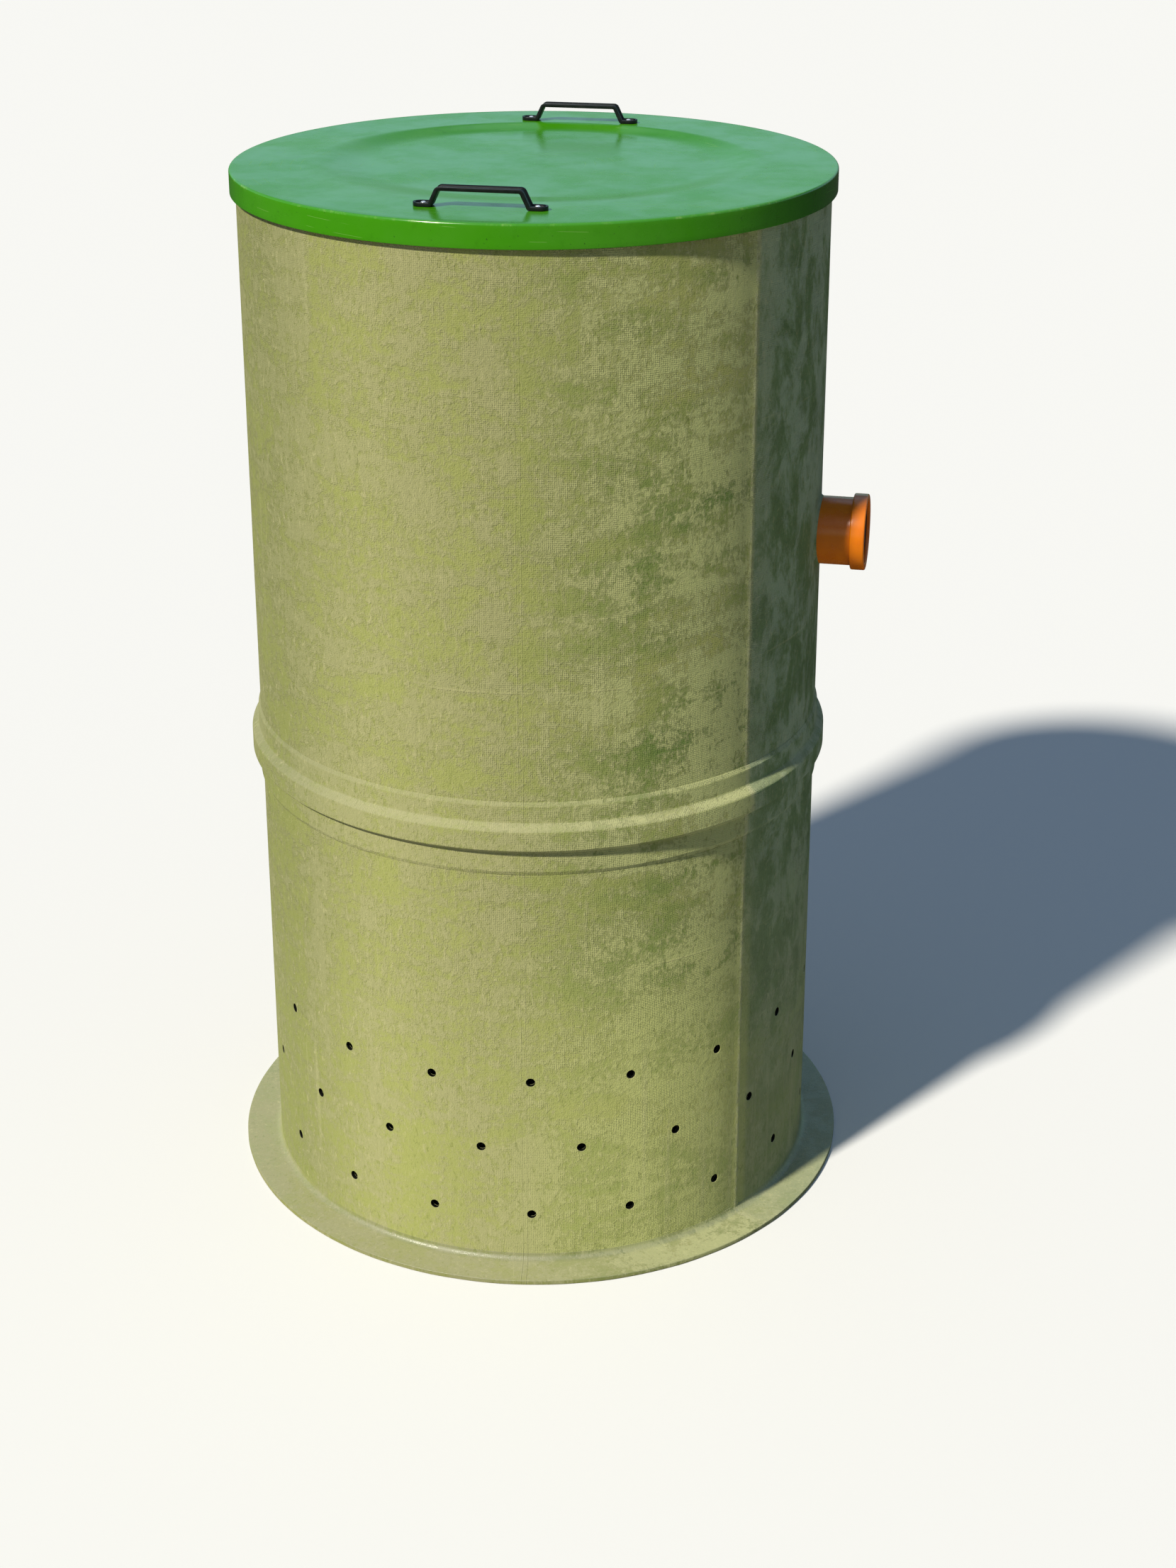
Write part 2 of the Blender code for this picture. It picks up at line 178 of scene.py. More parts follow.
def aroundFade(tree, angle, degrees, toLow=0.0, toHigh=1.0):
    # A fade between two places round the barrel
    return fade(tree, angle, radians(degrees[0]), radians(degrees[1]), toLow, toHigh)


def blend(tree, share, a, b, how="MIX"):
    made = addNode(tree, "Mix", {"Factor": share, "A": a, "B": b}, data_type="RGBA", blend_type=how)
    return made.outputs["Result"]


def bump(tree, height, reach):
    # height counts in units of reach, which is in metres
    return addNode(tree, "Bump", {"Height": height, "Distance": reach, "Strength": 1.0}).outputs["Normal"]


def seen(red, green, blue):
    # A colour as it looks, 0 to 255, as the linear value that a socket takes
    return tuple(((c / 255 + 0.055) / 1.055) ** 2.4 for c in (red, green, blue)) + (1.0,)


def newMaterial(name):
    material = bpy.data.materials.new(name)
    material.use_nodes = True
    tree = material.node_tree
    return material, tree, tree.nodes["Principled BSDF"]


def stretched(tree, x, y, z):
    place = addNode(tree, "TexCoord", {}).outputs["Object"]
    return addNode(tree, "Mapping", {"Vector": place, "Scale": (x, y, z)}).outputs["Vector"]


# Camera, at the photograph's place: fitted to the lid, the flange and the rows of holes

camera = {
    "place": (0.8871, -4.1382, 2.620),
    "towards": (-0.1763, 0.9172, -0.3572),
    "lens": 57.895,
    "shiftDown": 0.0998,
}
cameraData = bpy.data.cameras.new("camera")
cameraData.lens = camera["lens"]
cameraData.shift_y = -camera["shiftDown"]
cameraData.clip_end = 200
cameraObject = bpy.data.objects.new("camera", cameraData)
cameraObject.location = camera["place"]
cameraObject.rotation_euler = Vector(camera["towards"]).to_track_quat("-Z", "Y").to_euler()
scene.collection.objects.link(cameraObject)
scene.camera = cameraObject
scene.view_settings.view_transform = "Standard"


# Light: one key from the front left, a pale cool room round it, and a pale floor

light = {
    "keyFrom": -123.2,             # degrees round from the inlet
    "keyHeight": 42.5,             # degrees up
    "keyStrength": 3.88,
    "keyColour": (1.0, 0.94, 0.82),
    "keySpread": 4.0,              # degrees
    "fill": (0.11, 0.155, 0.215, 1.0),
    # What gloss sees from the horizon up to overhead, and where each tone fades into the next
    "glossHorizon": (0.14, 0.30, 0.16, 1.0),
    "horizonToLow": (0.01, 0.15),
    "glossLow": (0.38, 0.70, 0.77, 1.0),
    "lowToHigh": (0.24, 0.46),
    "glossHigh": (0.08, 0.16, 0.26, 1.0),
    "highToTop": (0.50, 0.62),
    "glossTop": (0.40, 0.58, 0.85, 1.0),
    "roomSeen": (0.93, 0.94, 0.91, 1.0),    # by the camera, so that the floor's far edge doesn't show
    "floorSeen": (0.99, 0.995, 1.0, 1.0),
    "floorGloss": (0.05, 0.055, 0.05, 1.0),
    "floorBounce": (0.45, 0.43, 0.385, 1.0),
    "floorRadius": 40.0,
    "floorDrop": 0.0005,
}


def makeLight():
    key = bpy.data.lights.new("key", "SUN")
    key.energy = light["keyStrength"]
    key.color = light["keyColour"]
    key.angle = radians(light["keySpread"])
    lamp = bpy.data.objects.new("key", key)
    away, up = radians(light["keyFrom"]), radians(light["keyHeight"])
    source = Vector((cos(away) * cos(up), sin(away) * cos(up), sin(up)))
    lamp.rotation_euler = source.to_track_quat("Z", "Y").to_euler()
    scene.collection.objects.link(lamp)

    # The camera sees the room as pale, like the floor. Gloss sees a sky in four tones.
    world = bpy.data.worlds.new("room")
    world.use_nodes = True
    scene.world = world
    tree = world.node_tree
    rays = addNode(tree, "LightPath", {}).outputs
    direction = addNode(tree, "TexCoord", {}).outputs["Generated"]
    height = addNode(tree, "SeparateXYZ", {"Vector": direction}).outputs["Z"]
    gloss = blend(tree, fade(tree, height, *light["lowToHigh"]), light["glossLow"], light["glossHigh"])
    gloss = blend(tree, fade(tree, height, *light["highToTop"]), gloss, light["glossTop"])
    gloss = blend(tree, fade(tree, height, *light["horizonToLow"]), light["glossHorizon"], gloss)
    room = blend(tree, rays["Is Glossy Ray"], light["fill"], gloss)
    looks = calc(tree, "MAXIMUM", rays["Is Camera Ray"], rays["Is Transmission Ray"])
    tree.links.new(blend(tree, looks, room, light["roomSeen"]), tree.nodes["Background"].inputs["Color"])


def makeFloor():
    material, tree, shader = newMaterial("paleFloor")
    rays = addNode(tree, "LightPath", {}).outputs
    colour = blend(tree, rays["Is Glossy Ray"], light["floorBounce"], light["floorGloss"])
    looks = calc(tree, "MAXIMUM", rays["Is Camera Ray"], rays["Is Transmission Ray"])
    tree.links.new(blend(tree, looks, colour, light["floorSeen"]), shader.inputs["Base Color"])
    shader.inputs["Roughness"].default_value = 0.9
    shader.inputs["Specular IOR Level"].default_value = 0.0
    shape = bmesh.new()
    bmesh.ops.create_circle(shape, cap_ends=True, segments=96, radius=light["floorRadius"])
    mesh = bpy.data.meshes.new("floor")
    shape.to_mesh(mesh)
    shape.free()
    mesh.materials.append(material)
    floor = bpy.data.objects.new("floor", mesh)
    floor.location.z = -light["floorDrop"]
    scene.collection.objects.link(floor)


makeLight()
makeFloor()
print("camera, light and floor done")


# Laminate: green glass-fibre under a chalky film that the woven peel cloth left on it

laminate = {
    "bare": seen(174, 179, 108),         # resin that shows where the film is off
    "bareWorn": seen(110, 138, 68),
    "filmThin": seen(178, 178, 127),
    "filmChalky": seen(190, 196, 134),
    "paintedShadeTint": seen(160, 184, 158),   # painted shade: the bluish tint where the key never reaches
    # The darker green of the painted shade's patches
    "paintedShadeMottle": seen(112, 138, 84),
    # Pale, for the painted bounce light from the ground low on the lit side
    "dust": seen(204, 209, 130),
    # Pale, for slopes that face up: a painted highlight, partly rubbing
    "rubbedAndHighlight": seen(206, 204, 170),
    "paleFibre": seen(206, 202, 152),
    "darkPit": seen(112, 122, 58),
    "drip": seen(206, 204, 156),
    # Pale, for the scratches and for the painted highlight on the seams
    "scratch": seen(212, 208, 158),
    # Near black, for the painted shade inside the holes
    "paintedHoleShade": seen(14, 15, 8),
    "deep": (0.66, 0.68, 0.66, 1.0),     # how far the painted shade darkens one side
    # Places round the barrel, in degrees from the front
    # Where the painted shade of one side lies
    "paintedShadeSideAt": -75,
    "paintedShadeSideWidths": (22, 60),         # to each side, full and none
    "chalkAndLightSides": ((50, 1.0), (-125, 0.7)),   # with the share of chalk; the first, next to the ridge, is also painted light that makes that side paler and patchier
    "chalkAndLightWidths": (6, 50),
    "chalkAndLightEnd": (56.4, 57.2),
    "threadsShow": (-15, 35),
    "threadsFade": (110, 175),
    # Painted shade beyond the ridge, where the key never reaches
    "shadeStarts": (56.3, 57.6),
    "shadeDeepens": (57, 66),
    "shadeEnds": (105, 170),
    # Painted bounce light from the ground, up to the ridge
    "paintedBounceStarts": (-5, 35),
    "paintedBounceEnds": (58, 60),
    "uprightSeams": (8.2, 9.1),          # fine upright ridges
    "ridgeHighlight": (56.3, seen(196, 198, 158)),    # the ridge at the last mat's edge, and the colour of its painted highlight
    # Heights on the barrel, in metres
    "levelSeams": (0.159, 0.571, 1.083, 1.493),
    "shadeHeights": (0.1, 0.9),
    "paintedBounceHeights": (0.80, 0.30),
    "smoothHeights": (0.10, 0.75),       # the relief is weaker towards the foot
    "threadsRound": 960,                 # a thread each 3.3 mm
    "threadRise": 0.0033,
    "relief": {                          # millimetres
        "threads": 0.7,
        "film": 0.3,
        "grain": 1.9,
        "lumps": 2.7,
        "fibres": 0.5,
        "scratches": 0.3,
        "drips": 0.25,
        "seams": 0.9,
    },
}


def unrolled(tree):
    # The angle round the barrel and the height on it, which runs on over the flange
    place = addNode(tree, "TexCoord", {}).outputs["Object"]
    parts = addNode(tree, "SeparateXYZ", {"Vector": place}).outputs
    backwards = calc(tree, "MULTIPLY", parts["Y"], -1.0)
    angle = calc(tree, "ARCTAN2", parts["X"], backwards)
    squares = calc(tree, "ADD", calc(tree, "POWER", parts["X"], 2.0), calc(tree, "POWER", parts["Y"], 2.0))
    outwards = calc(tree, "SUBTRACT", calc(tree, "SQRT", squares), barrelRadius)
    return angle, calc(tree, "SUBTRACT", parts["Z"], outwards), outwards


def threads(tree, value, count, wander, slack):
    # Rounded ridges, count to each unit of value, led a little astray by a noise
    turn = calc(tree, "MULTIPLY_ADD", wander, slack, calc(tree, "MULTIPLY", value, count))
    return calc(tree, "MULTIPLY_ADD", calc(tree, "SINE", turn), 0.5, 0.5)


def hairlines(tree, value, spacing, width, place, rarity, sway=0.16):
    # Fine scratches along one direction, broken up so that few of them show
    wander = noiseOf(tree, place, 2.5, 2.0)
    along = calc(tree, "MULTIPLY_ADD", wander, sway, value)
    cell = calc(tree, "FRACT", calc(tree, "DIVIDE", along, spacing))
    line = fade(tree, distance(tree, cell, 0.5), 0.0, width / spacing, 1.0, 0.0)
    return calc(tree, "MULTIPLY", line, fade(tree, noiseOf(tree, place, 7.0, 1.0), rarity, rarity + 0.04))


def seams(tree, angle, height, wander, lying):
    # Where the mats overlap: fine lines, the upright ones whole and the level ones broken. They are ridges
    # in the relief, and pale in the colour as a painted highlight.
    lines = 0.0
    for place in laminate["uprightSeams"]:
        off = calc(tree, "MULTIPLY_ADD", wander, 0.004, distance(tree, angle, radians(place)))
        lines = calc(tree, "ADD", fade(tree, off, 0.0012, 0.0038, 1.0, 0.0), lines)
    broken = fade(tree, noiseOf(tree, lying, 6.0, 4.0), 0.46, 0.60)
    for place in laminate["levelSeams"]:
        off = calc(tree, "MULTIPLY_ADD", wander, 0.008, distance(tree, height, place - 0.004))
        line = calc(tree, "MULTIPLY", fade(tree, off, 0.0036, 0.0056, 0.7, 0.0), broken)
        lines = calc(tree, "ADD", line, lines)
    return lines


def filmColour(tree, angle, spread, film, lying):
    # Resin, thin film, and the chalky film that lies on some sides of the barrel. Next to the ridge that
    # side is also made paler and patchier as painted light.
    chalkAndLight = 0.0
    for side, share in laminate["chalkAndLightSides"]:
        off = distance(tree, angle, radians(side))
        chalkAndLight = calc(tree, "ADD", aroundFade(tree, off, laminate["chalkAndLightWidths"], share, 0.0), chalkAndLight)
    # The chalk and its painted light drop at the ridge, where the key's light ends
    chalkAndLight = calc(tree, "MULTIPLY", chalkAndLight, aroundFade(tree, angle, laminate["chalkAndLightEnd"], 1.0, 0.4))
    broad = fade(tree, noiseOf(tree, lying, 2.4, 5.0, 0.6), 0.35, 0.65)
    body = blend(tree, calc(tree, "MULTIPLY", chalkAndLight, broad), laminate["bare"], laminate["bareWorn"])
    colour = blend(tree, fade(tree, spread, 0.37, 0.59), body, laminate["filmThin"])
    return blend(tree, calc(tree, "MULTIPLY", film, chalkAndLight), colour, laminate["filmChalky"])


def paintedShadeAndLight(tree, angle, height, even, colour, tone):
    # Painted shade: the side that the key never reaches is tinted bluish and darkened in patches, less
    # towards the foot
    shaded = product(tree, aroundFade(tree, angle, laminate["shadeStarts"]),
                     aroundFade(tree, angle, laminate["shadeDeepens"], 0.75, 1.0),
                     aroundFade(tree, angle, laminate["shadeEnds"], 1.0, 0.0),
                     fade(tree, height, *laminate["shadeHeights"], 0.3, 1.0))
    paintedShadeMottle = fade(tree, noiseOf(tree, stretched(tree, 1, 1, 0.6), 15.0, 8.0, 0.72, 0.3), 0.42, 0.58)
    colour = blend(tree, calc(tree, "MULTIPLY", shaded, 0.75), colour, laminate["paintedShadeTint"])
    colour = blend(tree, product(tree, paintedShadeMottle, 0.9, shaded), colour, laminate["paintedShadeMottle"])

    # Painted bounce light from the ground: paler towards the foot on the lit side, ending just past the
    # ridge
    paintedBounce = product(tree, fade(tree, height, *laminate["paintedBounceHeights"]),
                       aroundFade(tree, angle, laminate["paintedBounceStarts"]),
                       aroundFade(tree, angle, laminate["paintedBounceEnds"], 1.0, 0.0))
    if tone == 1:
        colour = blend(tree, calc(tree, "MULTIPLY", paintedBounce, 0.55), colour, laminate["dust"])

    # Painted highlight: a pale band along the ridge at the last mat's edge, and slopes that face up made
    # paler, partly by rubbing
    edgeAt, highlightColour = laminate["ridgeHighlight"]
    off = distance(tree, angle, radians(edgeAt))
    onEdge = calc(tree, "MULTIPLY", fade(tree, off, 0.004, 0.013, 1.0, 0.0),
                  fade(tree, noiseOf(tree, even, 60.0, 4.0, 0.7), 0.35, 0.60, 0.1, 0.6))
    colour = blend(tree, onEdge, colour, highlightColour)
    facing = addNode(tree, "NewGeometry", {}).outputs["Normal"]
    upwards = addNode(tree, "SeparateXYZ", {"Vector": facing}).outputs["Z"]
    colour = blend(tree, fade(tree, upwards, 0.25, 0.62, 0.0, 0.30), colour, laminate["rubbedAndHighlight"])
    if tone < 1:
        return blend(tree, 1.0, colour, (tone, tone, tone, 1), "MULTIPLY")
    # Painted shade: one side of the barrel is darkened
    off = distance(tree, angle, radians(laminate["paintedShadeSideAt"]))
    paintedShadeSide = aroundFade(tree, off, laminate["paintedShadeSideWidths"], 1.0, 0.0)
    return blend(tree, paintedShadeSide, colour, laminate["deep"], "MULTIPLY")


def makeLaminate(name, weave, cover, roughness, gloss, tone=1.0):
    # weave is how strongly the relief shows, cover is how much of the surface keeps its film.
    # A tone under 1 darkens the piece evenly, in place of the painted bounce light and the painted shade of
    # one side.
    material, tree, shader = newMaterial(name)
    angle, height, outwards = unrolled(tree)
    even = stretched(tree, 1, 1, 1)
    lying = stretched(tree, 1, 1, 2.4)
    standing = stretched(tree, 9, 9, 0.7)

    # Threads of the peel cloth, which show in patches
    wander = noiseOf(tree, even, 5.0, 3.0)
    upright = threads(tree, angle, laminate["threadsRound"], wander, 34.0)
    level = threads(tree, height, 2 * pi / laminate["threadRise"], wander, 26.0)
    cloth = calc(tree, "MULTIPLY_ADD", level, 0.9, calc(tree, "MULTIPLY", upright, 0.9))
    kept = product(tree, fade(tree, noiseOf(tree, lying, 4.2, 5.0, 0.65), 0.38, 0.58, 0.15, 1.0),
                   aroundFade(tree, angle, laminate["threadsShow"], 0.4, 1.0),
                   aroundFade(tree, angle, laminate["threadsFade"], 1.0, 0.4))

    # Fine grain, short fibres and broader lumps
    grain = noiseOf(tree, even, 400.0, 3.0, 0.65)
    fibres = noiseOf(tree, stretched(tree, 170, 170, 70), 1.0, 3.0, 0.6, 1.0)
    lumps = noiseOf(tree, even, 75.0, 5.0, 0.74, 0.3)

    # The film: lying patches and standing streaks with frayed edges
    spread = noiseOf(tree, lying, 6.0, 10.0, 0.78, 0.4)
    streaks = noiseOf(tree, standing, 1.0, 6.0, 0.7)
    for part, share in ((streaks, 0.6), (lumps, 0.45), (fibres, 0.30)):
        spread = calc(tree, "MULTIPLY_ADD", calc(tree, "SUBTRACT", part, 0.5), share, spread)
    spread = calc(tree, "ADD", spread, cover)
    film = fade(tree, spread, 0.46, 0.54)
    colour = filmColour(tree, angle, spread, film, lying)
    colour = paintedShadeAndLight(tree, angle, height, even, colour, tone)

    # Pale fibres and dark pits a few millimetres long, then drips, scratches and seams, the seams' pale
    # lines a painted highlight on their ridges
    colour = blend(tree, fade(tree, fibres, 0.56, 0.74, 0.0, 0.40), colour, laminate["paleFibre"])
    colour = blend(tree, fade(tree, fibres, 0.44, 0.28, 0.0, 0.35), colour, laminate["darkPit"])
    drips = fade(tree, noiseOf(tree, stretched(tree, 70, 70, 1.3), 1.0, 3.0, 0.6), 0.56, 0.70)
    drips = calc(tree, "MULTIPLY", drips, fade(tree, noiseOf(tree, even, 3.0, 2.0), 0.42, 0.60))
    colour = blend(tree, calc(tree, "MULTIPLY", drips, 0.22), colour, laminate["drip"])
    lean = calc(tree, "MULTIPLY_ADD", angle, 0.9, calc(tree, "MULTIPLY", height, 0.25))
    scratch = hairlines(tree, lean, 0.11, 0.0012, lying, 0.60)
    seam = seams(tree, angle, height, wander, lying)
    lines = calc(tree, "MULTIPLY", calc(tree, "MAXIMUM", scratch, seam), 0.30)
    colour = blend(tree, lines, colour, laminate["scratch"])

    # Painted shade: the cut edge inside each hole is made near black
    inCut = product(tree, fade(tree, outwards, -0.0009, -0.0004, 1.0, 0.0),
                    fade(tree, outwards, -barrel["wall"] + 0.0002, -barrel["wall"] + 0.0006),
                    fade(tree, height, *barrel["holesEnd"], 1.0, 0.0))
    colour = blend(tree, inCut, colour, laminate["paintedHoleShade"])
    tree.links.new(colour, shader.inputs["Base Color"])

    high = laminate["relief"]
    relief = product(tree, cloth, kept, fade(tree, film, 0.0, 1.0, 0.55, 1.0), high["threads"])
    for part, kind in ((film, "film"), (grain, "grain"), (lumps, "lumps"),
                       (fibres, "fibres"), (scratch, "scratches"), (drips, "drips")):
        relief = calc(tree, "MULTIPLY_ADD", part, high[kind], relief)
    relief = product(tree, relief, fade(tree, height, *laminate["smoothHeights"], 0.55, 1.0), weave)
    relief = calc(tree, "MULTIPLY_ADD", seam, high["seams"], relief)
    tree.links.new(bump(tree, relief, 0.001), shader.inputs["Normal"])
    rough = fade(tree, film, 0.0, 1.0, roughness - 0.10, roughness + 0.08)
    tree.links.new(rough, shader.inputs["Roughness"])
    shader.inputs["Specular IOR Level"].default_value = gloss
    shader.inputs["Diffuse Roughness"].default_value = 1.0
    return material


barrel = {
    "wall": 0.008,
    "columns": 360,
    "rows": 92,
    "unevenness": 0.00025,
    "unevennessReach": 0.14,
    "ridgeAt": -33.5,            # degrees round from the inlet
    "ridgeHeight": 0.0009,
    "ridgeShape": ((-0.014, 0), (-0.006, 0.4), (-0.002, 0.92), (0, 1), (0.002, 0.6), (0.006, 0)),
    "holeRadius": 0.008,
    "holesInRow": 18,
    "holeBreak": 0.0005,         # the broken edge of a hole
    "holesEnd": (0.45, 0.50),    # above this height there are none
    "sleeveRadius": 0.0592,
}


def holeHeights():
    # The rows' heights, from the openings that the record states
    openings = frame["record"]["physics"]["openings"]
    boxes = [o["box_m"] for o in openings if o["name"].startswith("seep_hole")]
    return sorted({round((low[2] + high[2]) / 2, 4) for low, high in boxes})


def drill(radius, direction, middle, broken):
    # A round cutter through the wall, flared where it comes out of the outer face
    half = barrel["wall"] * 1.5
    face = barrel["wall"] / 2
    profile = [(radius, -half), (radius, face - broken), (radius + broken, face), (radius + broken, half)]
    steps = 32 if radius < 0.02 else 96
    vertices = [(r * cos(2 * pi * s / steps), r * sin(2 * pi * s / steps), z)
                for r, z in profile for s in range(steps)]
    faces = stitch(len(profile), steps, False)
    faces += [tuple(range(steps)), tuple(range(steps * (len(profile) - 1), steps * len(profile)))]
    mesh = meshFrom("drill", vertices, faces)
    turn = Vector((0, 0, 1)).rotation_difference(direction).to_matrix().to_4x4()
    mesh.transform(Matrix.Translation(middle) @ turn)
    return mesh


def makeDrills():
    joined = bmesh.new()
    middle = barrelRadius - barrel["wall"] / 2
    for row, height in enumerate(holeHeights()):
        for number in range(barrel["holesInRow"]):
            turn = 2 * pi * (number + 0.5 * (row % 2)) / barrel["holesInRow"]
            outward = Vector((cos(turn), sin(turn), 0))
            place = outward * middle + Vector((0, 0, height))
            joined.from_mesh(drill(barrel["holeRadius"], outward, place, barrel["holeBreak"]))
    joined.from_mesh(drill(barrel["sleeveRadius"], Vector((1, 0, 0)), Vector((middle, 0, inletHeight)), 0.0))
    mesh = bpy.data.meshes.new("drills")
    joined.to_mesh(mesh)
    joined.free()
    drills = bpy.data.objects.new("drills", mesh)
    scene.collection.objects.link(drills)
    return drills


def ridgeTurns():
    # Extra columns across the ridge, so that its crest is sharp
    ridge = radians(barrel["ridgeAt"]) % (2 * pi)
    return [ridge + off / barrelRadius for off, share in barrel["ridgeShape"]]


def wallLumps(turn, radius, height):
    # Slow unevenness, and on the outside the upright ridge where the last mat overlaps
    away = turn * barrelRadius - radians(barrel["ridgeAt"]) % (2 * pi) * barrelRadius
    lump = roundLumps(barrel["unevenness"], barrel["unevennessReach"])(turn, radius, height)
    shape = barrel["ridgeShape"]
    if radius < barrelRadius or not shape[0][0] <= away <= shape[-1][0]:
        return lump
    for (before, low), (after, high) in zip(shape, shape[1:]):
        if before <= away <= after:
            share = low + (high - low) * (away - before) / (after - before)
    swell = 0.9 + 0.7 * perlin(Vector((3.1, 0, height * 14)))
    return lump + barrel["ridgeHeight"] * share * swell


def makeBarrel(material):
    inner = barrelRadius - barrel["wall"]
    rows = barrel["rows"]
    outside = [(barrelRadius, wallLow + (wallTop - wallLow) * row / rows) for row in range(rows + 1)]
    inside = [(inner, wallTop - (wallTop - wallLow) * row / 12) for row in range(13)]
    mesh = turned("barrelShell", outside + inside, barrel["columns"], wallLumps, ridgeTurns())
    shell = bpy.data.objects.new("barrelShell", mesh)
    scene.collection.objects.link(shell)
    drills = makeDrills()
    cut = shell.modifiers.new("holes", "BOOLEAN")
    cut.operation = "DIFFERENCE"
    cut.solver = "EXACT"
    cut.object = drills
    bpy.context.view_layer.update()
    done = bpy.data.meshes.new_from_object(shell.evaluated_get(bpy.context.evaluated_depsgraph_get()))
    bpy.data.objects.remove(shell)
    bpy.data.objects.remove(drills)
    nodes = [f"{course}_wall_{number}" for course in ("lower", "upper") for number in range(1, 9)]
    return addPiece("barrel_shell", done, material, "well", nodes)


rib = {
    "bandHalf": 0.0655,          # the overlay band that holds the hump
    "bandThickness": 0.0035,
    "bandTaper": 0.007,
    "height": 0.016,
    "footAbove": 0.0317,         # from the band's middle
    "crestAbove": 0.0165,
    "crestBelow": 0.0142,
    "footBelow": 0.0255,
    "stations": 110,
    "sunk": 0.002,               # how far the band's edges reach into the barrel's wall
    "clearance": 0.0006,
    "unevenness": 0.0003,
}


def ribRise(above):
    # Height over the barrel at a distance above the band's middle: sloping on top, steep below
    band = rib["bandThickness"] * min(1, (rib["bandHalf"] - abs(above)) / rib["bandTaper"])
    if above > 0:
        share = (rib["footAbove"] - above) / (rib["footAbove"] - rib["crestAbove"])
    else:
        share = (rib["footBelow"] + above) / (rib["footBelow"] - rib["crestBelow"])
    share = min(1, max(0, share))
    return band + (rib["height"] - rib["bandThickness"]) * share ** 2 * (3 - 2 * share)


def makeRib(material):
    profile = [(barrelRadius - rib["sunk"], seamHeight - rib["bandHalf"])]
    for station in range(rib["stations"] + 1):
        above = rib["bandHalf"] * (2 * station / rib["stations"] - 1)
        profile.append((barrelRadius + rib["clearance"] + ribRise(above), seamHeight + above))
    profile.append((barrelRadius - rib["sunk"], seamHeight + rib["bandHalf"]))
    mesh = turned("rib", profile, barrel["columns"], roundLumps(rib["unevenness"], 0.12))
    nodes = [f"rib_{number}" for number in range(1, 9)]
    return addPiece("stiffening_rib", mesh, material, "well", nodes, sharp=60)


base = {
    "thickness": 0.008,
    "edge": 0.0012,
    "fillet": 0.012,
    "sunk": 0.0008,              # how far the ring reaches into the barrel's wall
    "unevenness": 0.0006,
}


def makeBase(material):
    low = base["thickness"]
    edge = base["edge"]
    inner = barrelRadius - base["sunk"]
    profile = [(inner, 0.0), (flangeRadius - edge, 0.0)]
    profile += arc((flangeRadius - edge, edge), edge, -90, 0, 3)[1:]
    profile += arc((flangeRadius - edge, low - edge), edge, 0, 90, 4)
    reach = flangeRadius - edge - barrelRadius - base["fillet"]
    profile += [(flangeRadius - edge - reach * step / 6, low) for step in range(1, 6)]
    profile += arc((barrelRadius + base["fillet"], low + base["fillet"]), base["fillet"], 270, 180, 8)
    profile += [(inner, low + base["fillet"] + 0.001)]

    def ragged(turn, radius, height):
        # The trimmed rim wanders a little, inside the frame's own radius
        if radius < flangeRadius - 0.004:
            return 0.0
        return base["unevenness"] * (perlin(Vector((cos(turn), sin(turn), 0)) * 9) - 1)

    mesh = turned("base", profile, barrel["columns"], ragged)
    nodes = ["foot_fillet"] + [f"base_flange_{number}" for number in range(1, 9)]
    return addPiece("base_flange", mesh, material, "well", nodes, sharp=50)


wallLaminate = makeLaminate("laminate", 1.0, 0.0, 0.68, 0.15)
makeBarrel(wallLaminate)
makeRib(makeLaminate("ribLaminate", 0.8, 0.02, 0.62, 0.25))
makeBase(makeLaminate("baseLaminate", 0.35, 0.0, 0.44, 0.8, 0.76))
print("barrel, rib and base done")


# Inlet: an orange socket, its seal, and the collar of laminate that holds it

inlet = {
    "boreRadius": 0.0554,
    "wall": 0.0036,
    "beadRadius": 0.066,
    "beadLength": 0.025,
    "beadRound": 0.0026,
    "grooveRadius": 0.062,
    "grooveLength": 0.014,
    "sealLip": 0.0543,
    "steps": 112,
    "collarReach": 0.0065,
    "collarHeight": 0.0045,
    "orange": seen(240, 130, 14),
    "orangeDeep": seen(228, 116, 10),
    "scuffed": seen(226, 150, 92),
    "rubber": seen(58, 36, 28),
    "rubberDusty": seen(92, 62, 46),
}


def makeSocketPlastic():
    material, tree, shader = newMaterial("drainPlastic")
    even = stretched(tree, 1, 1, 1)
    rings = stretched(tree, 420, 3, 3)
    cloud = noiseOf(tree, even, 22.0, 5.0, 0.6)
    colour = blend(tree, fade(tree, cloud, 0.35, 0.7), inlet["orange"], inlet["orangeDeep"])
    scuffs = fade(tree, noiseOf(tree, stretched(tree, 30, 180, 180), 1.0, 4.0, 0.65), 0.66, 0.78, 0.0, 0.4)
    colour = blend(tree, scuffs, colour, inlet["scuffed"])
    tree.links.new(colour, shader.inputs["Base Color"])
    tree.links.new(fade(tree, cloud, 0.3, 0.7, 0.20, 0.32), shader.inputs["Roughness"])
    relief = calc(tree, "MULTIPLY", cloud, 0.5)
    relief = calc(tree, "MULTIPLY_ADD", noiseOf(tree, rings, 1.0, 2.0), 0.08, relief)
    tree.links.new(bump(tree, relief, 0.0005), shader.inputs["Normal"])
    shader.inputs["Specular IOR Level"].default_value = 0.5
    return material


def makeRubber():
    material, tree, shader = newMaterial("sealRubber")
    dust = fade(tree, noiseOf(tree, stretched(tree, 1, 1, 1), 90.0, 5.0, 0.65), 0.45, 0.75)
    tree.links.new(blend(tree, dust, inlet["rubber"], inlet["rubberDusty"]), shader.inputs["Base Color"])
    tree.links.new(fade(tree, dust, 0.0, 1.0, 0.5, 0.8), shader.inputs["Roughness"])
    return material


